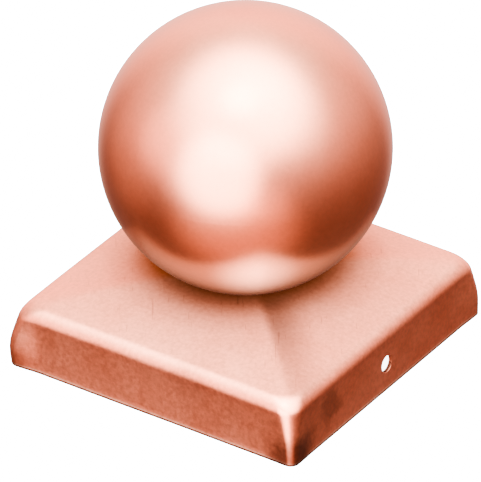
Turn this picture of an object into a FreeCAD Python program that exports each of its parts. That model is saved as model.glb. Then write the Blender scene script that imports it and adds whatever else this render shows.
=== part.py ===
"""Square fence post cap, pressed from sheet, with a hollow sheet-metal ball screwed on top.

Millimetres. The origin is the middle of the open rim, +Z is up, and the sides face +X, -X, +Y and -Y.
The cap is one drawn sheet. The ball is two half shells, with a weld nut inside its flattened pole, and
one button-head screw holds it down from inside the cap.
"""
import FreeCAD, Part
import math
import os

# Post and sheet
POST_WIDTH = 90.0                # side of the square timber post
POST_PLAY = 0.5                  # between post and skirt, each side, at the rim
CAP_SHEET = 1.0                  # sheet thickness of the cap
BALL_SHEET = 0.8                 # sheet thickness of the ball

# Cap
SKIRT_DRAFT = math.radians(2.0)  # the skirt narrows upwards
SHOULDER_HEIGHT = 18.6           # where the skirt and roof would meet without their bend
SHOULDER_BEND = 3.5              # outside radius of that bend
ROOF_SLOPE = 0.12                # mean rise over run of the four-sided roof
CROWN_SLOPE = 0.107              # the roof is crowned: this slope at mid run, and steeper
ROOF_CROWN = 0.7                 # towards the edge by this share
RIM_CORNER = 2.5                 # outside corner radius in plan at the rim
ROOF_CORNER = 6.0                # and from the shoulder upwards
CORNER_GROWTH = 3                # power of the height by which the corner radius grows
RIM_ROUND = 0.4                  # rounding of the rim's outer edge
RIM_ROUND_SHARE = 0.3            # where the rounding's middle section stands, as a share of it
SKIRT_STEPS = 6                  # cross sections up the skirt
BEND_STEPS = 8                   # cross sections around the shoulder bend
ROOF_STEPS = 6                   # cross sections up the roof
ROOF_TOP_SIDE = 0.4              # straight side left at the roof's topmost, nearly round section

# Ball
BALL_RADIUS = 40.0
BALL_CENTRE_HEIGHT = 61.3
POLE_FLAT_RADIUS = 8.0           # flat under the ball, where it sits and the nut is welded
SEAT_PLAY = 0.1                  # between the ball and the side of its dished seat
LIP_HEIGHT = 3.0                 # how far the lower half reaches up inside the upper half
LIP_ROOT = 2.0                   # overlap of the lip with its own half

# Fixings
SIDE_HOLE_RADIUS = 2.5
SIDE_HOLE_HEIGHT = 8.0
SCREW_RADIUS = 3.0
SCREW_LENGTH = 12.0
SCREW_TIP_CHAMFER = 0.6
HEAD_RADIUS = 5.25
HEAD_HEIGHT = 3.3
HEAD_EDGE = 0.5                  # straight edge of the domed head
HEAD_FACE_RADIUS = 2.9           # flat face around the socket
SOCKET_FLATS = 4.0
SOCKET_DEPTH = 2.2
SCREW_HOLE_RADIUS = 3.3
NUT_FLATS = 10.0
NUT_HEIGHT = 5.0
NUT_CHAMFER = math.radians(30)   # slope of the turned-off corners
THREAD_PLAY = 0.05
FLAT_WASHER_RADII = (3.2, 6.0)
FLAT_WASHER_THICKNESS = 1.6
SPRING_WASHER_RADII = (3.1, 5.9)
SPRING_WASHER_THICKNESS = 1.6
SPRING_WASHER_SPLIT = 0.8
SPRING_SPLIT_LEAN = 25.0         # degrees from upright

UP = FreeCAD.Vector(0, 0, 1)
SOLID = True
RULED = True
SMOOTH = False
REACH = 5.0                      # how far a cutting tool stands out of what it cuts

HALF_WIDTH = POST_WIDTH / 2 + POST_PLAY + CAP_SHEET
POLE_HEIGHT = BALL_CENTRE_HEIGHT - math.sqrt(BALL_RADIUS ** 2 - POLE_FLAT_RADIUS ** 2)
FLAT_WASHER_BASE = POLE_HEIGHT - CAP_SHEET - FLAT_WASHER_THICKNESS
SPRING_WASHER_BASE = FLAT_WASHER_BASE - SPRING_WASHER_THICKNESS


def at(height):
    """A point on the cap's axis."""
    return FreeCAD.Vector(0, 0, height)


def rounded_square(half, corner, height):
    """A level wire: a square with rounded corners, four straight sides and four arcs."""
    edges = []
    centre = half - corner
    for quarter in range(4):
        turn = FreeCAD.Rotation(UP, 90 * quarter)
        side = [turn.multVec(FreeCAD.Vector(half, y, height)) for y in (-centre, centre)]
        edges.append(Part.makeLine(side[0], side[1]))
        arc = []
        for angle in (0, 45, 90):
            x = centre + corner * math.cos(math.radians(angle))
            y = centre + corner * math.sin(math.radians(angle))
            arc.append(turn.multVec(FreeCAD.Vector(x, y, height)))
        edges.append(Part.Arc(arc[0], arc[1], arc[2]).toShape())
    return Part.Wire(edges)


def bend_centre():
    """Half width and height of the shoulder bend's centre line."""
    lean = math.tan(SKIRT_DRAFT)
    shoulder_half = HALF_WIDTH - SHOULDER_HEIGHT * lean
    roof_length = math.hypot(1, ROOF_SLOPE)
    rise = SHOULDER_HEIGHT + ROOF_SLOPE * (shoulder_half - HALF_WIDTH)
    rise += SHOULDER_BEND * (ROOF_SLOPE / math.cos(SKIRT_DRAFT) - roof_length)
    height = rise / (1 - ROOF_SLOPE * lean)
    return HALF_WIDTH - height * lean - SHOULDER_BEND / math.cos(SKIRT_DRAFT), height


def drawn_form(inset, foot):
    """The cap's filled outer form, drawn in by inset all round; foot lists the sections at the rim."""
    centre_half, centre_height = bend_centre()
    radius = SHOULDER_BEND - inset
    first = SKIRT_DRAFT
    last = math.pi / 2 - math.atan(CROWN_SLOPE * (1 + ROOF_CROWN))
    bend = []
    for step in range(BEND_STEPS + 1):
        angle = first + (last - first) * step / BEND_STEPS
        bend.append((centre_half + radius * math.cos(angle), centre_height + radius * math.sin(angle)))
    edge_half, edge_height = bend[-1]
    top_half = ROOF_CORNER + ROOF_TOP_SIDE / 2 - inset
    roof_line = [bend[-1]]
    for step in range(1, ROOF_STEPS + 1):
        inward = (edge_half - top_half) * step / ROOF_STEPS
        rise = CROWN_SLOPE * inward * (1 + ROOF_CROWN * (1 - inward / edge_half))
        roof_line.append((edge_half - inward, edge_height + rise))

    skirt_line = []
    for step in range(1, SKIRT_STEPS + 1):
        share = step / SKIRT_STEPS
        skirt_line.append(tuple(a + (b - a) * share for a, b in zip(foot[-1], bend[0])))

    def section(half, height):
        growth = min(max(height / edge_height, 0), 1) ** CORNER_GROWTH
        corner = RIM_CORNER + (ROOF_CORNER - RIM_CORNER) * growth - inset
        return rounded_square(half, corner, height)

    skirt = Part.makeLoft([section(*point) for point in foot + skirt_line], SOLID, RULED)
    shoulder = Part.makeLoft([section(*point) for point in bend], SOLID, SMOOTH)
    roof = Part.makeLoft([section(*point) for point in roof_line], SOLID, RULED)
    return skirt.fuse([shoulder, roof])


def seat_form(radius, flat_height):
    """The ball's lower cap as a solid, flattened at its pole."""
    ball = Part.makeSphere(radius, at(BALL_CENTRE_HEIGHT))
    side = 4 * radius
    keep = Part.makeBox(side, side, side, FreeCAD.Vector(-side / 2, -side / 2, flat_height))
    return ball.common(keep)


def post_cap():
    """The drawn sheet: skirt, shoulder, roof, dished seat, and its holes."""
    middle = RIM_ROUND_SHARE * RIM_ROUND
    outer_foot = [(HALF_WIDTH - RIM_ROUND, 0), (HALF_WIDTH - middle, middle), (HALF_WIDTH, RIM_ROUND)]
    below = -REACH
    inner_half = HALF_WIDTH - CAP_SHEET / math.cos(SKIRT_DRAFT)
    inner_foot = [(inner_half - below * math.tan(SKIRT_DRAFT), below), (inner_half, 0)]
    outer = drawn_form(0, outer_foot)
    outer = outer.cut(seat_form(BALL_RADIUS + SEAT_PLAY, POLE_HEIGHT))
    inner = drawn_form(CAP_SHEET, inner_foot)
    inner = inner.cut(seat_form(BALL_RADIUS + SEAT_PLAY + CAP_SHEET, POLE_HEIGHT - CAP_SHEET))
    cap = outer.cut(inner)
    screw_hole = Part.makeCylinder(SCREW_HOLE_RADIUS, 2 * REACH, at(POLE_HEIGHT - REACH), UP)
    side_start = FreeCAD.Vector(-HALF_WIDTH - REACH, 0, SIDE_HOLE_HEIGHT)
    across = FreeCAD.Vector(1, 0, 0)
    side_holes = Part.makeCylinder(SIDE_HOLE_RADIUS, 2 * (HALF_WIDTH + REACH), side_start, across)
    return cap.cut([screw_hole, side_holes]).removeSplitter()


def ball_upper_shell():
    """The upper half of the ball."""
    outer = Part.makeSphere(BALL_RADIUS, at(BALL_CENTRE_HEIGHT), UP, 0, 90, 360)
    return outer.cut(Part.makeSphere(BALL_RADIUS - BALL_SHEET, at(BALL_CENTRE_HEIGHT)))


def ball_lower_shell():
    """The lower half, with a flat pole, a screw hole and a lip that goes inside the upper half."""
    inside = BALL_RADIUS - BALL_SHEET
    outer = Part.makeSphere(BALL_RADIUS, at(BALL_CENTRE_HEIGHT), UP, -90, 0, 360)
    outer = outer.common(seat_form(BALL_RADIUS + REACH, POLE_HEIGHT))
    shell = outer.cut(seat_form(inside, POLE_HEIGHT + BALL_SHEET))
    band = Part.makeCylinder(BALL_RADIUS, LIP_ROOT + LIP_HEIGHT, at(BALL_CENTRE_HEIGHT - LIP_ROOT), UP)
    lip = band.common(Part.makeSphere(inside - SEAT_PLAY, at(BALL_CENTRE_HEIGHT)))
    root = Part.makeCylinder(BALL_RADIUS, LIP_ROOT, at(BALL_CENTRE_HEIGHT - LIP_ROOT), UP)
    lip = lip.fuse(root.common(Part.makeSphere(inside, at(BALL_CENTRE_HEIGHT))))
    lip = lip.cut(Part.makeSphere(inside - BALL_SHEET, at(BALL_CENTRE_HEIGHT)))
    hole = Part.makeCylinder(SCREW_HOLE_RADIUS, 2 * REACH, at(POLE_HEIGHT - REACH), UP)
    return shell.fuse(lip).cut(hole).removeSplitter()


def hexagon(flats, height, base):
    """A hexagonal prism on the axis."""
    corner = flats / math.sqrt(3)
    points = []
    for side in range(7):
        angle = math.radians(60 * side)
        points.append(FreeCAD.Vector(corner * math.cos(angle), corner * math.sin(angle), base))
    return Part.Face(Part.makePolygon(points)).extrude(UP * height)


def ball_weld_nut():
    """The nut inside the ball: its upper corners are turned off at 30 degrees."""
    base = POLE_HEIGHT + BALL_SHEET
    nut = hexagon(NUT_FLATS, NUT_HEIGHT, base)
    flat_radius = NUT_FLATS / 2
    cone_radius = flat_radius + NUT_HEIGHT / math.tan(NUT_CHAMFER)
    turned = Part.makeCone(cone_radius, flat_radius, NUT_HEIGHT, at(base), UP)
    bore = Part.makeCylinder(SCREW_RADIUS + THREAD_PLAY, NUT_HEIGHT + 2 * REACH, at(base - REACH), UP)
    return nut.common(turned).cut(bore)


def ball_screw():
    """Button-head screw with a hexagon socket, pointing up."""
    seat = SPRING_WASHER_BASE
    dome_rise = HEAD_HEIGHT - HEAD_EDGE
    centre_rise = (HEAD_RADIUS ** 2 - HEAD_FACE_RADIUS ** 2 - dome_rise ** 2) / (2 * dome_rise)
    dome = Part.makeSphere(math.hypot(HEAD_RADIUS, centre_rise), at(seat - HEAD_EDGE + centre_rise))
    head = Part.makeCylinder(HEAD_RADIUS, HEAD_HEIGHT, at(seat - HEAD_HEIGHT), UP).common(dome)
    head = head.cut(hexagon(SOCKET_FLATS, SOCKET_DEPTH + REACH, seat - HEAD_HEIGHT - REACH))
    straight = SCREW_LENGTH - SCREW_TIP_CHAMFER
    shank = Part.makeCylinder(SCREW_RADIUS, straight, at(seat), UP)
    tip_radius = SCREW_RADIUS - SCREW_TIP_CHAMFER
    tip = Part.makeCone(SCREW_RADIUS, tip_radius, SCREW_TIP_CHAMFER, at(seat + straight), UP)
    return head.fuse([shank, tip]).removeSplitter()


def ring(radii, thickness, base):
    """A flat ring on the axis, from its inner and outer radii."""
    outer = Part.makeCylinder(radii[1], thickness, at(base), UP)
    return outer.cut(Part.makeCylinder(radii[0], thickness, at(base), UP))


def flat_washer():
    """Flat washer under the sheet."""
    return ring(FLAT_WASHER_RADII, FLAT_WASHER_THICKNESS, FLAT_WASHER_BASE)


def spring_washer():
    """Split washer, pressed flat, with a leaning split on the +X side."""
    washer = ring(SPRING_WASHER_RADII, SPRING_WASHER_THICKNESS, SPRING_WASHER_BASE)
    corner = FreeCAD.Vector(0, -SPRING_WASHER_SPLIT / 2, -REACH)
    split = Part.makeBox(2 * SPRING_WASHER_RADII[1], SPRING_WASHER_SPLIT, 2 * REACH, corner)
    split.rotate(at(0), FreeCAD.Vector(1, 0, 0), SPRING_SPLIT_LEAN)
    split.translate(at(SPRING_WASHER_BASE + SPRING_WASHER_THICKNESS / 2))
    return washer.cut(split)


NODES = (post_cap, ball_upper_shell, ball_lower_shell, ball_weld_nut, ball_screw, spring_washer, flat_washer)


def main():
    """Build every node and write it to its own file."""
    os.makedirs("parts", exist_ok=True)
    for build in NODES:
        shape = build()
        solids = shape.Solids
        if len(solids) != 1 or not shape.isValid():
            raise RuntimeError(f"{build.__name__}: {len(solids)} solids, valid {shape.isValid()}")
        solids[0].exportStep(f"parts/{build.__name__}.step")
        print(f"{build.__name__}: {solids[0].Volume:.1f} mm3")


main()
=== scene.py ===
"""Copper fence post cap with a ball on top: visual model, materials, floor, light and camera.

Everything is in metres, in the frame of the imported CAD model: the origin is the middle of the cap's
rim and +Z is up.
"""
import math

import bmesh
import bpy
from mathutils import Matrix, Vector, noise


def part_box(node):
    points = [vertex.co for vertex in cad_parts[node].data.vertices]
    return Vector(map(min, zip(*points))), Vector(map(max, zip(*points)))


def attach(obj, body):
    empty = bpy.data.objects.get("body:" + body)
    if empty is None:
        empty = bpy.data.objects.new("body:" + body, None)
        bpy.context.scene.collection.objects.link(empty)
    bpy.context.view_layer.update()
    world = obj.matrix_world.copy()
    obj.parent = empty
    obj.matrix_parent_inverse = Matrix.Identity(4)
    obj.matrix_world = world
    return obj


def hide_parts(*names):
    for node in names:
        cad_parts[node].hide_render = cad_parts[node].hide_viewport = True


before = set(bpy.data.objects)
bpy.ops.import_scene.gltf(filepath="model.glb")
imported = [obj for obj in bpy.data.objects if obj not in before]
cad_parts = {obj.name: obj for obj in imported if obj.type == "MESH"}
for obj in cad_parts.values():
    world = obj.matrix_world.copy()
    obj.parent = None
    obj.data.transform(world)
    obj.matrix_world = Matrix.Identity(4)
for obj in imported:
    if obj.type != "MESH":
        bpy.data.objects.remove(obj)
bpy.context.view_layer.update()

MM = 0.001

# ---------------------------------------------------------------- sizes
CAP_LOW, CAP_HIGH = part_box("post_cap")
BALL_LOW, BALL_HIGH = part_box("ball_upper_shell")
POLE_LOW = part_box("ball_lower_shell")[0]
WASHER_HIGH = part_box("flat_washer")[1]

HALF_WIDTH = CAP_HIGH.x
RIM_HEIGHT = CAP_LOW.z
BALL_RADIUS = BALL_HIGH.x
BALL_CENTRE = BALL_LOW.z
POLE_HEIGHT = POLE_LOW.z
CAP_SHEET = POLE_HEIGHT - WASHER_HIGH.z
BALL_SHEET = 0.8 * MM

SKIRT_DRAFT = math.radians(2.0)
SHOULDER_HEIGHT = 18.6 * MM
SHOULDER_BEND = 4.0 * MM
ROOF_SLOPE = 0.12
ROOF_CROWN = 0.7
CROWN_SLOPE = 0.107
RIM_CORNER = 2.5 * MM
ROOF_CORNER = 6.0 * MM
CORNER_GROWTH = 2
RIM_ROUND = 0.35 * MM
SEAT_ROUND = 0.5 * MM
SCREW_HOLE_RADIUS = 3.3 * MM
SIDE_HOLE_RADIUS = 2.5 * MM
SIDE_HOLE_HEIGHT = 8.0 * MM
SIDE_HOLE_BEVEL = 0.18 * MM
HOLE_REACH = 2 * MM         # how far the hole's cutter stands out of the sheet
SEAT_PLAY = 0.1 * MM        # between the ball and the side of its seat
SEAT_SHARE = 0.6            # share of the ball's radius within which the seat lies
LIP_HEIGHT = 3.0 * MM       # how far the lower half's lip reaches into the upper half, and down its own
LIP_ROOT = 2 * MM
LIP_PLAY = 0.1 * MM
INNER_START = 1.3           # the lower half's own inside begins at this times the lip's root

# How the pressed sheet stands off its true form
SWELLS = {(-1, -1): 1.95 * MM, (1, -1): 0.6 * MM,   # outward bulge of each corner
          (1, 1): 1.1 * MM, (-1, 1): 0.9 * MM}
SWELL_HEIGHT = 6.7 * MM     # height and spread of the bulge
SWELL_SPREAD = 7.2 * MM
SWELL_START = 0.78          # where a corner begins, as a share of the half width, and how soon it is full
SWELL_RAMP = 0.18
TUCK = 0.35 * MM            # how far the corners are drawn in at the shoulder
TUCK_HEIGHT = 17.5 * MM
TUCK_SPREAD = 2.5 * MM
DROOP = 0.5 * MM            # how far the roof's corners are pulled down
RIDGE_CORNER = 2.0 * MM     # plan radius of the roof's ridges, and how far in they reach it
RIDGE_REACH = 14 * MM
WAIST = 0.2 * MM            # hollow of the skirt between the rim and the shoulder
FLARE = 0.20 * MM           # outward flare of the skirt just above the rim
FLARE_HEIGHT = 2.0 * MM
FLARE_POWER = 12            # how late the flare fades towards a corner
LONG_WAVES, SHORT_WAVES = 38, 110              # pitches of the sheet's waviness, per metre
LONG_HEIGHT, SHORT_HEIGHT = 0.05, 0.02         # and heights, in mm
CORNER_HEIGHT, CORNER_POWER = 0.09, 6          # more of the short waves low on the corners, in mm
WAVE_SHIFT = Vector((7, 3, 5))
ROOF_START, ROOF_FADE = 14 * MM, 3 * MM        # height where the skirt's shifts turn into the roof's
SEAT_REACH = 14 * MM        # the roof isn't shifted nearer to the axis than this
RIM_TOLERANCE = 0.01 * MM
DENTS = ((Vector((46 * MM, -29 * MM, 12 * MM)), 2.6 * MM, 0.10 * MM),
         (Vector((46 * MM, -38 * MM, 6 * MM)), 2.0 * MM, 0.07 * MM),
         (Vector((20 * MM, -46 * MM, 11 * MM)), 5.0 * MM, 0.06 * MM))   # (place, reach, depth)

# Finish of the meshes
SHARP_ANGLE = math.radians(38)
SIDE_STEPS = 56
CORNER_STEPS = 20
RIM_STEPS = 4
SKIRT_STEPS = 26
BEND_STEPS = 22
ROOF_STEPS = 70
BALL_COLUMNS = 256
BALL_ROWS = 64
LIP_STEPS = 4
HOLE_STEPS = 64


# ---------------------------------------------------------------- mesh helpers
def new_object(name, mesh):
    """Puts a finished mesh in the scene, smoothly shaded except at real edges."""
    piece = bpy.data.objects.new(name, mesh)
    bpy.context.scene.collection.objects.link(piece)
    mesh.shade_smooth()
    mesh.set_sharp_from_angle(angle=SHARP_ANGLE)
    return piece


def loop_rows(name, rows, close_rows):
    """A mesh from equal closed rings of points; close_rows joins the last ring to the first."""
    width = len(rows[0])
    vertices = [point for row in rows for point in row]
    faces = []
    last = len(rows) if close_rows else len(rows) - 1
    for r in range(last):
        upper = (r + 1) % len(rows)
        for c in range(width):
            following = (c + 1) % width
            faces.append((r * width + c, r * width + following,
                          upper * width + following, upper * width + c))
    mesh = bpy.data.meshes.new(name)
    mesh.from_pydata(vertices, [], faces)
    mesh.update()
    return mesh


# ---------------------------------------------------------------- the cap's shape
def plan_ring(half, corner):
    """Plan points of a rounded square, anticlockwise from the middle of the +X side."""
    points = []
    centre = half - corner
    for quarter in range(4):
        turn = Matrix.Rotation(math.radians(90 * quarter), 2)
        side = []
        for step in range(SIDE_STEPS // 2):
            side.append((half, centre * step / (SIDE_STEPS // 2)))
        for step in range(CORNER_STEPS):
            angle = math.radians(90 * step / CORNER_STEPS)
            side.append((centre + corner * math.cos(angle), centre + corner * math.sin(angle)))
        for step in range(SIDE_STEPS // 2):
            side.append((centre * (1 - step / (SIDE_STEPS // 2)), half))
        for pair in side:
            points.append(turn @ Vector(pair))
    return points


def bend_centre():
    """Half width and height of the shoulder bend's centre line."""
    lean = math.tan(SKIRT_DRAFT)
    shoulder_half = HALF_WIDTH - SHOULDER_HEIGHT * lean
    roof_length = math.hypot(1, ROOF_SLOPE)
    rise = SHOULDER_HEIGHT + ROOF_SLOPE * (shoulder_half - HALF_WIDTH)
    rise += SHOULDER_BEND * (ROOF_SLOPE / math.cos(SKIRT_DRAFT) - roof_length)
    height = rise / (1 - ROOF_SLOPE * lean)
    return HALF_WIDTH - height * lean - SHOULDER_BEND / math.cos(SKIRT_DRAFT), height


def side_profile(inset):
    """(half width, height) up the skirt and round the shoulder, drawn in by inset."""
    centre_half, centre_height = bend_centre()
    radius = SHOULDER_BEND - inset
    first, last = SKIRT_DRAFT, math.pi / 2 - math.atan(CROWN_SLOPE * (1 + ROOF_CROWN))
    bend = []
    for step in range(BEND_STEPS + 1):
        angle = first + (last - first) * step / BEND_STEPS
        bend.append((centre_half + radius * math.cos(angle), centre_height + radius * math.sin(angle)))
    foot_half = HALF_WIDTH - inset / math.cos(SKIRT_DRAFT)
    rim = []
    if inset == 0:
        for step in range(RIM_STEPS + 1):
            angle = math.radians(90 * step / RIM_STEPS)
            rim.append((foot_half - RIM_ROUND * (1 - math.sin(angle)), RIM_ROUND * (1 - math.cos(angle))))
    else:
        rim.append((foot_half, RIM_HEIGHT))
    skirt = []
    for step in range(1, SKIRT_STEPS):
        share = step / SKIRT_STEPS
        skirt.append((rim[-1][0] + (bend[0][0] - rim[-1][0]) * share,
                      rim[-1][1] + (bend[0][1] - rim[-1][1]) * share))
    return rim + skirt + bend


def corner_at(height, bend_top, inset):
    """Plan corner radius at a height: it grows quickly towards the shoulder."""
    growth = min(max(height / bend_top, 0), 1) ** CORNER_GROWTH
    return RIM_CORNER + (ROOF_CORNER - RIM_CORNER) * growth - inset


def level_half(x, y, corner):
    """Half width of the rounded square through a plan point."""
    x, y = max(abs(x), abs(y)), min(abs(x), abs(y))
    if y <= x - corner:
        return x
    under_root = (x + y) ** 2 - 2 * (x * x + y * y - corner * corner)
    centre = ((x + y) - math.sqrt(max(under_root, 0))) / 2
    return max(centre, 0) + corner


def smooth_low(a, b, width):
    """The lower of two heights, with the crease between them rounded."""
    blend = max(width - abs(a - b), 0) / width
    return min(a, b) - blend * blend * width / 4


def roof_height(x, y, edge, inset):
    """Height of the roof and its dished seat over a plan point."""
    half = level_half(x, y, ROOF_CORNER - inset)
    crisp = min(max((edge[0] - half) / RIDGE_REACH, 0), 1)
    half += (level_half(x, y, RIDGE_CORNER) - half) * crisp
    inward = edge[0] - half
    roof = edge[1] + CROWN_SLOPE * inward * (1 + ROOF_CROWN * (1 - inward / edge[0]))
    reach = math.hypot(x, y)
    radius = BALL_RADIUS + SEAT_PLAY + inset
    dish = BALL_CENTRE - math.sqrt(max(radius * radius - reach * reach, 0))
    dish = max(dish, POLE_HEIGHT - inset)
    if reach > radius * SEAT_SHARE:
        return roof
    return smooth_low(roof, dish, SEAT_ROUND)


def cap_rows(inset):
    """Rings of one face of the sheet, from the rim to the screw hole."""
    profile = side_profile(inset)
    edge = profile[-1]
    rows = []
    for half, height in profile:
        corner = corner_at(height, edge[1], inset)
        rows.append([Vector((p.x, p.y, height)) for p in plan_ring(half, corner)])
    start = rows[-1]
    for step in range(1, ROOF_STEPS + 1):
        share = step / ROOF_STEPS
        pull = share * share * (3 - 2 * share)
        row = []
        for point in start:
            flat = Vector((point.x, point.y))
            round_plan = flat.normalized() * edge[0]
            shape = flat.lerp(round_plan, pull)
            size = edge[0] + (SCREW_HOLE_RADIUS - edge[0]) * share
            spot = shape * (size / edge[0])
            row.append(Vector((spot.x, spot.y, roof_height(spot.x, spot.y, edge, inset))))
        rows.append(row)
    return rows


def corner_swell(point):
    """How far a pressed corner bulges outwards along its diagonal."""
    cornerness = min(abs(point.x), abs(point.y)) / HALF_WIDTH
    share = min(max((cornerness - SWELL_START) / SWELL_RAMP, 0), 1)
    level = (point.z - SWELL_HEIGHT) / SWELL_SPREAD
    upper = (point.z - TUCK_HEIGHT) / TUCK_SPREAD
    swell = SWELLS[(1 if point.x > 0 else -1, 1 if point.y > 0 else -1)] * math.exp(-level * level)
    return share * share * (3 - 2 * share) * (swell - TUCK * math.exp(-upper * upper))


def skirt_profile_shift(point):
    """The skirt's slight waist, and the flare just above its rim."""
    share = min(point.z / SHOULDER_HEIGHT, 1)
    straight = 1 - (min(abs(point.x), abs(point.y)) / HALF_WIDTH) ** FLARE_POWER
    flare = max(1 - point.z / FLARE_HEIGHT, 0)
    return FLARE * straight * flare * flare - WAIST * math.sin(math.pi * share)


def press_waviness(point):
    """How far the drawn sheet stands off its true form: long, shallow waves, more at the corners."""
    cornerness = min(abs(point.x), abs(point.y)) / HALF_WIDTH
    low = noise.noise(point * LONG_WAVES)
    fine = noise.noise(point * SHORT_WAVES + WAVE_SHIFT)
    skirt = 1 - min(point.z / SHOULDER_HEIGHT, 1)
    short = SHORT_HEIGHT + CORNER_HEIGHT * skirt * cornerness ** CORNER_POWER
    shift = (LONG_HEIGHT * low + short * fine) * MM
    for place, spread, depth in DENTS:
        shift -= depth * math.exp(-(point - place).length_squared / (2 * spread * spread))
    return shift


def cut_side_holes(piece):
    """Punches the two fixing holes, with slightly broken edges."""
    cutter_mesh = bpy.data.meshes.new("hole_cutter")
    form = bmesh.new()
    outer = HALF_WIDTH - SIDE_HOLE_HEIGHT * math.tan(SKIRT_DRAFT)
    for sign in (1, -1):
        stations = [(outer + HOLE_REACH, SIDE_HOLE_RADIUS + SIDE_HOLE_BEVEL + HOLE_REACH),
                    (outer, SIDE_HOLE_RADIUS + SIDE_HOLE_BEVEL),
                    (outer - SIDE_HOLE_BEVEL, SIDE_HOLE_RADIUS),
                    (outer - CAP_SHEET - HOLE_REACH, SIDE_HOLE_RADIUS)]
        rings = []
        for along, radius in stations:
            ring = []
            for step in range(HOLE_STEPS):
                angle = 2 * math.pi * step / HOLE_STEPS
                ring.append(form.verts.new((sign * along, sign * radius * math.cos(angle),
                                            SIDE_HOLE_HEIGHT + radius * math.sin(angle))))
            rings.append(ring)
        for near, far in zip(rings, rings[1:]):
            for step in range(HOLE_STEPS):
                after = (step + 1) % HOLE_STEPS
                form.faces.new((near[step], near[after], far[after], far[step]))
        form.faces.new(rings[0])
        form.faces.new(rings[-1])
    bmesh.ops.recalc_face_normals(form, faces=form.faces)
    form.to_mesh(cutter_mesh)
    form.free()
    cutter = bpy.data.objects.new("hole_cutter", cutter_mesh)
    bpy.context.scene.collection.objects.link(cutter)
    cut = piece.modifiers.new("side_holes", "BOOLEAN")
    cut.operation = "DIFFERENCE"
    cut.solver = "EXACT"
    cut.object = cutter
    graph = bpy.context.evaluated_depsgraph_get()
    result = bpy.data.meshes.new_from_object(piece.evaluated_get(graph))
    piece.modifiers.clear()
    piece.data = result
    bpy.data.objects.remove(cutter)
    return piece


def build_cap():
    """The drawn cap: outside, rim, underside and the edge of the screw hole, as one closed sheet."""
    outside = cap_rows(0)
    inside = cap_rows(CAP_SHEET)
    rows = outside + list(reversed(inside))
    for row in rows:
        for point in row:
            if point.z > RIM_HEIGHT + RIM_TOLERANCE:
                shift = press_waviness(point)
                flat = Vector((point.x, point.y, 0))
                on_roof = min(max((point.z - ROOF_START) / ROOF_FADE, 0), 1)
                outward = shift * (1 - on_roof) + corner_swell(point)
                side = max(abs(point.x), abs(point.y))
                spread = 1 + skirt_profile_shift(point) * (1 - on_roof) / side
                point += flat.normalized() * outward
                point.x, point.y = point.x * spread, point.y * spread
                if math.hypot(point.x, point.y) > SEAT_REACH:
                    cornerness = abs(point.x * point.y) / HALF_WIDTH ** 2
                    point.z += (shift - DROOP * cornerness * cornerness) * on_roof
    mesh = loop_rows("post_cap_sheet", rows, True)
    piece = new_object("post_cap_sheet", mesh)
    cut_side_holes(piece)
    piece.data.shade_smooth()
    piece.data.set_sharp_from_angle(angle=SHARP_ANGLE)
    return piece


# ---------------------------------------------------------------- the ball's shape
def ball_ring(radius, angle):
    """A level ring on the ball at an angle above its equator."""
    flat, height = radius * math.cos(angle), BALL_CENTRE + radius * math.sin(angle)
    return level_ring(flat, height)


def level_ring(flat, height):
    """A level ring of points of a given radius."""
    row = []
    for step in range(BALL_COLUMNS):
        turn = 2 * math.pi * step / BALL_COLUMNS
        row.append(Vector((flat * math.cos(turn), flat * math.sin(turn), height)))
    return row


def build_upper_shell():
    """The upper half shell, open at the equator, closed over the top inside and out."""
    top = math.pi / 2
    rows = []
    for radius, order in ((BALL_RADIUS, 1), (BALL_RADIUS - BALL_SHEET, -1)):
        ring_set = []
        for step in range(BALL_ROWS):
            ring_set.append(ball_ring(radius, top * step / BALL_ROWS))
        rows.append(ring_set[::order])
    mesh_rows = rows[1] + rows[0]
    mesh = loop_rows("ball_top", mesh_rows, False)
    form = bmesh.new()
    form.from_mesh(mesh)
    form.verts.ensure_lookup_table()
    for first, height in ((0, BALL_RADIUS - BALL_SHEET), (len(mesh_rows) - 1, BALL_RADIUS)):
        ring = [form.verts[first * BALL_COLUMNS + c] for c in range(BALL_COLUMNS)]
        tip = form.verts.new((0, 0, BALL_CENTRE + height))
        form.verts.ensure_lookup_table()
        for c in range(BALL_COLUMNS):
            form.faces.new((ring[c], ring[(c + 1) % BALL_COLUMNS], tip))
    bmesh.ops.recalc_face_normals(form, faces=form.faces)
    form.to_mesh(mesh)
    form.free()
    return new_object("ball_top", mesh)


def build_lower_shell():
    """The lower half shell: flat pole with the screw hole, and the joggled lip inside the seam."""
    inside = BALL_RADIUS - BALL_SHEET
    lip = inside - BALL_SHEET
    pole = math.asin((POLE_HEIGHT - BALL_CENTRE) / BALL_RADIUS)
    inner_pole = math.asin((POLE_HEIGHT + BALL_SHEET - BALL_CENTRE) / inside)
    rows = [level_ring(SCREW_HOLE_RADIUS, POLE_HEIGHT)]
    for step in range(BALL_ROWS + 1):
        rows.append(ball_ring(BALL_RADIUS, pole * (1 - step / BALL_ROWS)))
    rows.append(ball_ring(inside - LIP_PLAY, 0))
    lip_top = math.asin(LIP_HEIGHT / inside)
    for step in range(1, LIP_STEPS + 1):
        rows.append(ball_ring(inside - LIP_PLAY, lip_top * step / LIP_STEPS))
    for step in range(LIP_STEPS + 1):
        rows.append(ball_ring(lip, lip_top * (1 - step / LIP_STEPS)))
    lip_root = math.asin(-LIP_ROOT / inside)
    rows.append(ball_ring(lip, lip_root))
    start = lip_root * INNER_START
    for step in range(BALL_ROWS + 1):
        rows.append(ball_ring(inside, start + (inner_pole - start) * step / BALL_ROWS))
    rows.append(level_ring(SCREW_HOLE_RADIUS, POLE_HEIGHT + BALL_SHEET))
    return new_object("ball_bottom", loop_rows("ball_bottom", rows, True))


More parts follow.
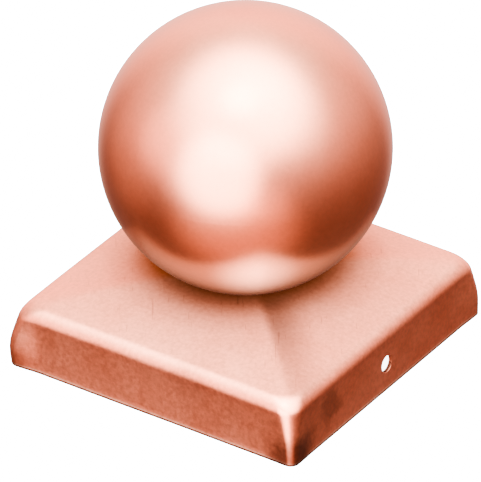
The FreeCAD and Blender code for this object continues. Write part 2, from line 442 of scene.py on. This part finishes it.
# ---------------------------------------------------------------- materials
# Painted contact shadow round the ball's seat: (distance from its middle in mm, tone)
SEAT_SHADE_TONES = ((17, 0.012), (20, 0.05), (23, 0.10), (26, 0.18), (29, 0.34), (33, 0.60), (40, 0.88), (50, 1.0))
SEAT_SHADE_OFFSET = (4.5 * MM, -6.6 * MM, 0)     # its middle lies off the axis by minus this, towards the back, as a shadow cast by the front light would
SEAT_SHADE_HUE = (1.10, 1.18)                    # powers that make the painted shade browner where it is mirrored
SHADED_TINT = Vector((0.66, 0.40, 0.31))   # the painted shade's colour at a grazing angle
EDGE_TINT = (1.0, 0.90, 0.85, 1)           # clean copper's colour at a grazing angle
UNDERSIDE = (-0.3, -0.2)                   # the normal's Z where the underside begins, which has no painted shade

# Painted dark reflection of the ball beside the roof's front ridge: (distance along the ridge in mm, tone)
RIDGE_SHADE_TONES = ((12, 1.0), (20, 0.50), (30, 0.45), (48, 0.72), (62, 0.85))
RIDGE_SHADE_EDGE = (-1.2 * MM, 2.2 * MM)        # how it begins across the ridge
RIDGE_SHADE_FADE = (3 * MM, 15 * MM)            # and how it ends

# Darker blotches; the one low on the front corner is painted shade that dims the corner's highlight: (x, y,
# z and reach in mm, tone)
BLOTCHES_AND_SHADE = ((46.2, -27.5, 9.5, 6.5, 0.66), (46.2, -40.0, 4.0, 6.0, 0.80), (45.4, -45.4, 1.5, 9.5, 0.48),
            (-45.5, -45.5, 7.0, 12.0, 0.78), (12.0, -46.2, 14.5, 9.0, 0.88))
BLOTCH_CORE = 0.35           # share of the reach that is fully dark
BLOTCH_RAGGED = 5 * MM       # how ragged their outlines are

# Lines along the rim: a painted contact shadow at its foot and a painted highlight above it
RIM_SHADE_TONE = 0.25             # painted contact shadow: the rim's foot is darker
RIM_SHADE_HEIGHT = 0.7 * MM
RIM_SHADE_SOFTNESS = 0.6          # share of that height where the edge's tone begins to fade
RIM_HIGHLIGHT_TINT = (1.05, 1.5, 1.7)  # painted highlight: the arris above it is paler
RIM_HIGHLIGHT_HEIGHTS = (0.5 * MM, 0.8 * MM, 1.3 * MM)

# Hairline scratches on the roof
SCRATCH_TONE = 0.80
SCRATCH_HEADING = math.radians(34)
SCRATCH_SIZE = (1 / 1700, 1 / 110, 1 / 110)   # width and length of a scratch, about, in metres
SCRATCH_LEVELS = (0.70, 0.76)              # how sparse they are
SCRATCH_DEPTH = 3.0                        # against the grain's own height
SCRATCH_FADE = 1 * MM                      # above the shoulder

# Noise textures: (scale, detail, roughness)
CLOUD_NOISE = (45.0, 4.0, 0.55)
SPECK_NOISE = (900.0, 3.0, 0.6)
GRAIN_NOISE = (1100.0, 2.0, 0.5)
SCRATCH_NOISE = (1.0, 1.0, 0.5)
BLOTCH_NOISE = (260.0, 3.0, 0.55)
STEEL_NOISE = (600.0, 4.0, 0.6)

CLOUD_STOPS = (0.30, 0.72)                 # where the cloudy tint goes from its dark to its pale tone
CLOUD_DARK = (0.97, 0.92, 0.90)
CLOUD_PALE = (1.0, 1.05, 1.06)
ROUGH_SPAN = (0.6, 1.4)                    # the noises' sum that goes from smoothest to roughest
ROUGH_SPREAD = (0.04, 0.05)
GRAIN_SPAN = (0.3, 0.7)
GRAIN_TONES = (0.90, 1.10)
GRAIN_HEIGHT = 0.02 * MM
BALL_MOTTLE = 0.35                         # the polished ball is this much more even than the cap
SEED_STEPS = (1.0, 0.7, 0.3)               # moves the noise of one piece off another's

GLINT_PLACE = (26 * MM, -30 * MM, 20 * MM)   # painted highlight in what the ball mirrors: the roof's front corner is brightest
GLINT_REACH = 24 * MM
GLINT_NEAR = Vector((1.65, 1.50, 1.42))      # tones of what is mirrored there and elsewhere
GLINT_FAR = Vector((0.75, 0.52, 0.42))

STEEL_STOPS = (0.35, 0.7)
STEEL_DARK = (0.85, 0.85, 0.84)
STEEL_PALE = (1.0, 1.0, 0.98)
STEEL_ROUGH_SPREAD = (0.06, 0.10)
STEEL_GRAIN = 0.25


def node_material(name):
    """An empty node material and its Principled shader."""
    material = bpy.data.materials.new(name)
    material.use_nodes = True
    return material, material.node_tree.nodes["Principled BSDF"]


def add_node(owner, kind, **values):
    """A node of a material or world, with its named inputs or properties set."""
    node = owner.node_tree.nodes.new(kind)
    for key, value in values.items():
        if key in node.inputs:
            node.inputs[key].default_value = value
        else:
            setattr(node, key, value)
    return node


def link(owner, output, target):
    """Joins two sockets."""
    owner.node_tree.links.new(output, target)


def feed(owner, socket, value):
    """Joins a socket to an output, or sets it to a plain value."""
    if isinstance(value, bpy.types.NodeSocket):
        link(owner, value, socket)
    else:
        socket.default_value = value


def maths(owner, operation, *values):
    """The result of a Math node."""
    node = add_node(owner, "ShaderNodeMath", operation=operation)
    for socket, value in zip(node.inputs, values):
        feed(owner, socket, value)
    return node.outputs["Value"]


def vectors(owner, operation, *values, output="Vector"):
    """The result of a Vector Math node."""
    node = add_node(owner, "ShaderNodeVectorMath", operation=operation)
    for socket, value in zip(node.inputs, values):
        feed(owner, socket, value)
    return node.outputs[output]


def scaled(owner, vector, factor):
    """A vector or colour times a number."""
    node = add_node(owner, "ShaderNodeVectorMath", operation="SCALE")
    link(owner, vector, node.inputs[0])
    feed(owner, node.inputs["Scale"], factor)
    return node.outputs["Vector"]


def ranged(owner, value, low, high, first=0.0, last=1.0, smooth=False):
    """A value taken from low..high to first..last, and held at the ends."""
    node = add_node(owner, "ShaderNodeMapRange")
    if smooth:
        node.interpolation_type = "SMOOTHSTEP"
    for key, level in (("From Min", low), ("From Max", high), ("To Min", first), ("To Max", last)):
        node.inputs[key].default_value = level
    link(owner, value, node.inputs["Value"])
    return node.outputs["Result"]


def ramp(owner, value, stops):
    """A colour ramp of (position, colour) stops."""
    node = add_node(owner, "ShaderNodeValToRGB")
    elements = node.color_ramp.elements
    while len(elements) < len(stops):
        elements.new(0.5)
    for element, (position, colour) in zip(elements, stops):
        element.position = position
        element.color = colour
    link(owner, value, node.inputs["Fac"])
    return node.outputs["Color"]


def texture(owner, place, kind):
    """A noise texture node at a place."""
    scale, detail, roughness = kind
    node = add_node(owner, "ShaderNodeTexNoise", Scale=scale, Detail=detail, Roughness=roughness)
    link(owner, place, node.inputs["Vector"])
    return node


def height_of(owner, vector):
    """A vector's Z."""
    node = add_node(owner, "ShaderNodeSeparateXYZ")
    link(owner, vector, node.inputs["Vector"])
    return node.outputs["Z"]


def tinted(tone, tint):
    """A colour for a ramp: the tone times the tint."""
    return (tone[0] * tint[0], tone[1] * tint[1], tone[2] * tint[2], 1)


def scratches(material, place, height):
    """Sparse hairline scratches on the roof; 1 in a scratch and 0 elsewhere."""
    drawn = add_node(material, "ShaderNodeMapping", vector_type="TEXTURE")
    drawn.inputs["Rotation"].default_value = (0, 0, SCRATCH_HEADING)
    drawn.inputs["Scale"].default_value = SCRATCH_SIZE
    link(material, place, drawn.inputs["Vector"])
    strand = texture(material, drawn.outputs["Vector"], SCRATCH_NOISE)
    scratch = ranged(material, strand.outputs["Fac"], *SCRATCH_LEVELS)
    above = ranged(material, height, SHOULDER_HEIGHT, SHOULDER_HEIGHT + SCRATCH_FADE)
    return maths(material, "MULTIPLY", scratch, above)


def ridge_painted_reflection(material, place):
    """Painted dark reflection of the ball along the +X side of the roof's front ridge; 1 is none of it."""
    along = vectors(material, "DOT_PRODUCT", place, Vector((1, -1, 0)).normalized(), output="Value")
    across = vectors(material, "DOT_PRODUCT", place, Vector((1, 1, 0)).normalized(), output="Value")
    longest = RIDGE_SHADE_TONES[-1][0] * MM
    stops = [(reach * MM / longest, (level, level, level, 1)) for reach, level in RIDGE_SHADE_TONES]
    tone = ramp(material, ranged(material, along, 0.0, longest), stops)
    near = ranged(material, across, *RIDGE_SHADE_EDGE, smooth=True)
    far = ranged(material, across, *RIDGE_SHADE_FADE, 1.0, 0.0, smooth=True)
    weight = maths(material, "MULTIPLY", near, far)
    lost = maths(material, "SUBTRACT", 1.0, tone)
    kept = maths(material, "MULTIPLY", weight, lost)
    return maths(material, "SUBTRACT", 1.0, kept)


def blotches_and_shade(material, place, colour):
    """The colour with a few darker, soft-edged blotches on it; the one low on the front corner is painted
    shade over its highlight.
    """
    ragged = texture(material, place, BLOTCH_NOISE)
    offset = vectors(material, "SUBTRACT", ragged.outputs["Color"], (0.5, 0.5, 0.5))
    moved = vectors(material, "MULTIPLY_ADD", offset, (BLOTCH_RAGGED,) * 3, place)
    for x, y, z, reach, tone in BLOTCHES_AND_SHADE:
        away = vectors(material, "DISTANCE", moved, (x * MM, y * MM, z * MM), output="Value")
        fade = ranged(material, away, reach * BLOTCH_CORE * MM, reach * MM, tone, 1.0, smooth=True)
        colour = scaled(material, colour, fade)
    return colour


def rim_painted_highlight(material, height, colour):
    """The colour with a thin paler line just above the rim: a painted highlight."""
    low, middle, high = RIM_HIGHLIGHT_HEIGHTS
    rise = ranged(material, height, low, middle, smooth=True)
    fall = ranged(material, height, middle, high, 1.0, 0.0, smooth=True)
    line = maths(material, "MULTIPLY", rise, fall)
    paler = vectors(material, "MULTIPLY", colour, RIM_HIGHLIGHT_TINT)
    mix = add_node(material, "ShaderNodeMix", data_type="VECTOR")
    link(material, line, mix.inputs["Factor"])
    link(material, colour, mix.inputs[4])
    link(material, paler, mix.inputs[5])
    return mix.outputs[1]


def seat_painted_shade(material, place, is_cap):
    """The colour, against clean copper, of the painted contact shadow round the ball's seat, on the cap's
    outside only.
    """
    flat = vectors(material, "MULTIPLY_ADD", place.outputs["Object"], (1, 1, 0), SEAT_SHADE_OFFSET)
    reach = vectors(material, "LENGTH", flat, output="Value")
    outermost = SEAT_SHADE_TONES[-1][0] * MM
    upward = height_of(material, place.outputs["Normal"])
    below = ranged(material, upward, *UNDERSIDE, outermost, 0.0)
    distance = ranged(material, maths(material, "ADD", reach, below), 0.0, outermost)
    stops = []
    for away, level in SEAT_SHADE_TONES:
        shown = level if is_cap else 1.0
        stops.append((away * MM / outermost, (shown, shown ** SEAT_SHADE_HUE[0], shown ** SEAT_SHADE_HUE[1], 1)))
    return ramp(material, distance, stops)


def echo_colour(material, place, seat, level):
    """The painted colour of the copper as another part of the object mirrors it: a painted highlight near
    the roof's front corner, darker elsewhere and in the painted seat shade.
    """
    faint = vectors(material, "MULTIPLY", (level,) * 3, seat)
    away = vectors(material, "DISTANCE", place, GLINT_PLACE, output="Value")
    glint = ranged(material, away, 0.0, GLINT_REACH, 1.0, 0.0, smooth=True)
    tones = vectors(material, "MULTIPLY_ADD", glint, GLINT_NEAR - GLINT_FAR, GLINT_FAR)
    return vectors(material, "MULTIPLY", faint, tones)


def copper(name, tone, roughness, grain, echo_level, seed):
    """Satin copper sheet: fine grain, cloudy roughness and a painted contact shadow round the ball's seat.

    Copper seen in copper isn't tinted twice: it has a nearly neutral tone of the given level.
    """
    is_cap = name == "cap_copper"
    mottle = 1.0 if is_cap else BALL_MOTTLE
    material, shader = node_material(name)
    shader.inputs["Metallic"].default_value = 1.0
    place = add_node(material, "ShaderNodeTexCoord")
    spot = add_node(material, "ShaderNodeMapping")
    spot.inputs["Location"].default_value = [seed * step for step in SEED_STEPS]
    link(material, place.outputs["Object"], spot.inputs["Vector"])
    height = height_of(material, place.outputs["Object"])

    # painted contact shadow round the ball's seat; its red darkens the colour below
    seat = seat_painted_shade(material, place, is_cap)
    ring = add_node(material, "ShaderNodeSeparateColor")
    link(material, seat, ring.inputs["Color"])
    cloud = texture(material, spot.outputs["Vector"], CLOUD_NOISE)
    tint = ramp(material, cloud.outputs["Fac"],
                ((CLOUD_STOPS[0], tinted(tone, CLOUD_DARK)), (CLOUD_STOPS[1], tinted(tone, CLOUD_PALE))))
    colour = scaled(material, tint, ring.outputs["Red"])
    # painted contact shadow along the rim's foot
    edge = ranged(material, height, RIM_SHADE_HEIGHT * RIM_SHADE_SOFTNESS, RIM_SHADE_HEIGHT, RIM_SHADE_TONE, 1.0, smooth=True)
    colour = scaled(material, colour, edge)

    speck = texture(material, spot.outputs["Vector"], SPECK_NOISE)
    both = maths(material, "ADD", cloud.outputs["Fac"], speck.outputs["Fac"])
    rough = ranged(material, both, *ROUGH_SPAN, roughness - ROUGH_SPREAD[0] * mottle,
                   roughness + ROUGH_SPREAD[1] * mottle)
    link(material, rough, shader.inputs["Roughness"])
    grains = ranged(material, speck.outputs["Fac"], *GRAIN_SPAN, 1 + (GRAIN_TONES[0] - 1) * mottle,
                    1 + (GRAIN_TONES[1] - 1) * mottle)
    colour = scaled(material, colour, grains)
    fine = texture(material, spot.outputs["Vector"], GRAIN_NOISE)
    bump = add_node(material, "ShaderNodeBump", Strength=grain, Distance=GRAIN_HEIGHT)
    if is_cap:
        scratch = scratches(material, spot.outputs["Vector"], height)
        relief = maths(material, "MULTIPLY_ADD", scratch, -SCRATCH_DEPTH, fine.outputs["Fac"])
        link(material, relief, bump.inputs["Height"])
        worn = ranged(material, scratch, 0.0, 1.0, 1.0, SCRATCH_TONE)
        # scratch wear, times the painted dark reflection of the ball beside the front ridge
        scratches_and_shade = maths(material, "MULTIPLY", worn, ridge_painted_reflection(material, place.outputs["Object"]))
        # darker blotches, the one low on the front corner being painted shade over its highlight
        colour = blotches_and_shade(material, place.outputs["Object"], scaled(material, colour, scratches_and_shade))
        # painted highlight along the arris just above the rim
        colour = rim_painted_highlight(material, height, colour)
        # inside the painted contact shadow the grazing tint goes towards the shade's own tint
        rim_tint = vectors(material, "MULTIPLY_ADD", ring.outputs["Red"],
                           Vector(EDGE_TINT[:3]) - SHADED_TINT, SHADED_TINT)
        link(material, rim_tint, shader.inputs["Specular Tint"])
    else:
        link(material, fine.outputs["Fac"], bump.inputs["Height"])
        shader.inputs["Specular Tint"].default_value = EDGE_TINT
    link(material, colour, shader.inputs["Base Color"])
    link(material, bump.outputs["Normal"], shader.inputs["Normal"])

    # painted reflection: the copper's colour as other parts mirror it
    echo = add_node(material, "ShaderNodeBsdfPrincipled", Metallic=1.0)
    mirrored = echo_colour(material, place.outputs["Object"], seat, echo_level)
    link(material, mirrored, echo.inputs["Base Color"])
    link(material, rough, echo.inputs["Roughness"])
    link(material, bump.outputs["Normal"], echo.inputs["Normal"])
    ray = add_node(material, "ShaderNodeLightPath")
    mix = add_node(material, "ShaderNodeMixShader")
    link(material, ray.outputs["Is Glossy Ray"], mix.inputs["Fac"])
    link(material, shader.outputs["BSDF"], mix.inputs[1])
    link(material, echo.outputs["BSDF"], mix.inputs[2])
    link(material, mix.outputs["Shader"], material.node_tree.nodes["Material Output"].inputs["Surface"])
    return material


def steel(name, tone, roughness):
    """Plain fastener steel with a fine turned grain."""
    material, shader = node_material(name)
    shader.inputs["Metallic"].default_value = 1.0
    place = add_node(material, "ShaderNodeTexCoord")
    cloud = texture(material, place.outputs["Object"], STEEL_NOISE).outputs["Fac"]
    tint = ramp(material, cloud, ((STEEL_STOPS[0], tinted((tone,) * 3, STEEL_DARK)),
                                  (STEEL_STOPS[1], tinted((tone,) * 3, STEEL_PALE))))
    link(material, tint, shader.inputs["Base Color"])
    rough = ranged(material, cloud, 0.0, 1.0, roughness - STEEL_ROUGH_SPREAD[0],
                   roughness + STEEL_ROUGH_SPREAD[1])
    link(material, rough, shader.inputs["Roughness"])
    bump = add_node(material, "ShaderNodeBump", Strength=STEEL_GRAIN, Distance=GRAIN_HEIGHT)
    link(material, cloud, bump.inputs["Height"])
    link(material, bump.outputs["Normal"], shader.inputs["Normal"])
    return material


def paint(node, material):
    """Gives a CAD node its finished material."""
    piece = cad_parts[node]
    piece.data.materials.clear()
    piece.data.materials.append(material)


# ---------------------------------------------------------------- stage, light, camera
FLOOR_REACH = 6.0
FLOOR_DROP = 0.05 * MM       # the floor lies this far below the rim
FLOOR_TONE = (0.93, 0.93, 0.93, 1)
FLOOR_ROUGHNESS = 0.9
FLOOR_GLOW = 3.0             # keeps the floor white under the soft light

# The room's brightness by elevation in degrees
WALL_LEVELS = ((-90, 0.20), (-40, 0.21), (-25, 0.27), (-10, 0.50), (5, 0.85), (20, 1.25), (35, 1.6),
               (50, 2.1), (65, 3.6), (90, 6.0))
COOL = (0.70, 1.05, 1.16)    # colour of the lamps
WARM = (1.16, 0.86, 0.70)    # colour of what comes back off the table
NEUTRAL = (1.0, 1.0, 1.0)
COOL_LEVEL, COOL_SPREAD = 1.0, 1.0   # the room turns cool above this brightness
WARM_LEVEL, WARM_SPREAD = 0.6, 0.3   # and warm below this one
WALL_WARMTH = 0.25
SOFT_LIGHTS = (   # (azimuth, elevation, outer and inner radius, added brightness, colour)
    (13, 8, 36, 22, 6.4, COOL),         # key, in front
    (29, 65, 58, 30, 4.2, COOL),        # overhead
    (22, 68, 16, 4, 6.0, COOL),         # the overhead light's hot middle
    (84, 50, 42, 12, 2.0, COOL),        # right of the overhead light
    (212, 4, 54, 18, 0.9, NEUTRAL),     # wall behind
    (-38, 16, 28, 8, 1.0, NEUTRAL),     # left of the key
    (26, -36, 50, 4, 0.80, WARM),       # spill on the table in front
    (-21, -6, 14, 3, 0.45, NEUTRAL),    # lower left end of the key
    (34, -17, 14, 3, 1.0, NEUTRAL),     # lower right end of the key
    (54, -15, 18, 4, 0.5, NEUTRAL),     # right of that
    (-66, -12, 32, 5, 0.2, WARM),       # dim glow at the left
)

CAMERA_AZIMUTH = 34.33
CAMERA_ELEVATION = 31.91
CAMERA_DISTANCE = 1.79
CAMERA_LENS = 490.8
CAMERA_SENSOR = 36
CAMERA_CLIP = (0.1, 50)
CAMERA_ROLL = -0.40
CAMERA_TARGET = Vector((0, 0, 40 * MM))
AIM_RIGHT = -1.458 * MM
AIM_UP = -7.295 * MM


def heading(azimuth, elevation):
    """Unit vector towards a direction; azimuth 0 is -Y, in front, and 90 is +X."""
    a, e = math.radians(azimuth), math.radians(elevation)
    return Vector((math.sin(a) * math.cos(e), -math.cos(a) * math.cos(e), math.sin(e)))


def build_floor():
    """A plain pale floor, which polished metal doesn't mirror and which can't be seen from below."""
    mesh = bpy.data.meshes.new("floor")
    level = RIM_HEIGHT - FLOOR_DROP
    corners = [(-FLOOR_REACH, -FLOOR_REACH, level), (FLOOR_REACH, -FLOOR_REACH, level),
               (FLOOR_REACH, FLOOR_REACH, level), (-FLOOR_REACH, FLOOR_REACH, level)]
    mesh.from_pydata(corners, [], [(0, 1, 2, 3)])
    floor = bpy.data.objects.new("floor", mesh)
    bpy.context.scene.collection.objects.link(floor)
    material, shader = node_material("pale_floor")
    shader.inputs["Base Color"].default_value = FLOOR_TONE
    shader.inputs["Roughness"].default_value = FLOOR_ROUGHNESS
    shader.inputs["Specular IOR Level"].default_value = 0.0
    shader.inputs["Emission Color"].default_value = (1, 1, 1, 1)
    shader.inputs["Emission Strength"].default_value = FLOOR_GLOW
    clear = add_node(material, "ShaderNodeBsdfTransparent")
    side = add_node(material, "ShaderNodeNewGeometry")
    mix = add_node(material, "ShaderNodeMixShader")
    link(material, side.outputs["Backfacing"], mix.inputs["Fac"])
    link(material, shader.outputs["BSDF"], mix.inputs[1])
    link(material, clear.outputs["BSDF"], mix.inputs[2])
    link(material, mix.outputs["Shader"], material.node_tree.nodes["Material Output"].inputs["Surface"])
    mesh.materials.append(material)
    floor.visible_glossy = False


def build_world():
    """A soft studio: walls that brighten upwards, with round soft lights on them."""
    world = bpy.data.worlds.new("studio")
    bpy.context.scene.world = world
    world.use_nodes = True
    place = add_node(world, "ShaderNodeTexCoord").outputs["Generated"]
    height = ranged(world, height_of(world, place), -1.0, 1.0)
    brightest = WALL_LEVELS[-1][1]
    stops = []
    for elevation, level in WALL_LEVELS:
        cool = min(max((level - COOL_LEVEL) / COOL_SPREAD, 0), 1)
        warm = min(max((WARM_LEVEL - level) / WARM_SPREAD, 0), 1) * WALL_WARMTH
        tints = [1 + cool * (c - 1) + warm * (w - 1) for c, w in zip(COOL, WARM)]
        colour = [level / brightest * tint for tint in tints] + [1]
        stops.append(((math.sin(math.radians(elevation)) + 1) / 2, colour))
    light = scaled(world, ramp(world, height, stops), brightest)
    for azimuth, elevation, outer, inner, strength, tint in SOFT_LIGHTS:
        along = vectors(world, "DOT_PRODUCT", place, heading(azimuth, elevation), output="Value")
        fall = ranged(world, along, math.cos(math.radians(outer)), math.cos(math.radians(inner)),
                      0.0, strength, smooth=True)
        light = vectors(world, "MULTIPLY_ADD", fall, tint, light)
    link(world, light, world.node_tree.nodes["Background"].inputs["Color"])


def build_camera():
    """Long lens, looking down on the front corner."""
    data = bpy.data.cameras.new("camera")
    data.lens = CAMERA_LENS
    data.sensor_width = CAMERA_SENSOR
    data.clip_start, data.clip_end = CAMERA_CLIP
    camera = bpy.data.objects.new("camera", data)
    bpy.context.scene.collection.objects.link(camera)
    back = heading(CAMERA_AZIMUTH, CAMERA_ELEVATION)
    right = heading(CAMERA_AZIMUTH + 90, 0)
    up = back.cross(right)
    roll = math.radians(CAMERA_ROLL)
    right, up = right * math.cos(roll) + up * math.sin(roll), up * math.cos(roll) - right * math.sin(roll)
    camera.location = CAMERA_TARGET + back * CAMERA_DISTANCE
    forward = (CAMERA_TARGET + right * AIM_RIGHT + up * AIM_UP - camera.location).normalized()
    side = forward.cross(up).normalized()
    over = side.cross(forward)
    turn = Matrix((side, over, -forward)).transposed()
    camera.rotation_mode = "QUATERNION"
    camera.rotation_quaternion = turn.to_quaternion()
    bpy.context.scene.camera = camera


# ---------------------------------------------------------------- assembly
CAP_TONE = (0.95, 0.262, 0.157)
cap_copper = copper("cap_copper", CAP_TONE, roughness=0.34, grain=0.30, echo_level=0.34, seed=1.0)
ball_copper = copper("ball_copper", CAP_TONE, roughness=0.29, grain=0.02, echo_level=1.0, seed=2.0)

cap = build_cap()
cap.data.materials.clear()
cap.data.materials.append(cap_copper)
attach(cap, "root")
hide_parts("post_cap")

for piece, node in ((build_upper_shell(), "ball_upper_shell"), (build_lower_shell(), "ball_lower_shell")):
    piece.data.materials.append(ball_copper)
    piece.visible_glossy = False
    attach(piece, "root")
    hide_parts(node)

paint("ball_weld_nut", steel("weld_nut_steel", tone=0.50, roughness=0.42))
paint("ball_screw", steel("screw_steel", tone=0.62, roughness=0.28))
paint("spring_washer", steel("spring_washer_steel", tone=0.45, roughness=0.36))
paint("flat_washer", steel("flat_washer_steel", tone=0.58, roughness=0.32))

build_floor()
build_world()
build_camera()
bpy.context.scene.view_settings.view_transform = "AgX"
bpy.context.scene.view_settings.look = "AgX - High Contrast"
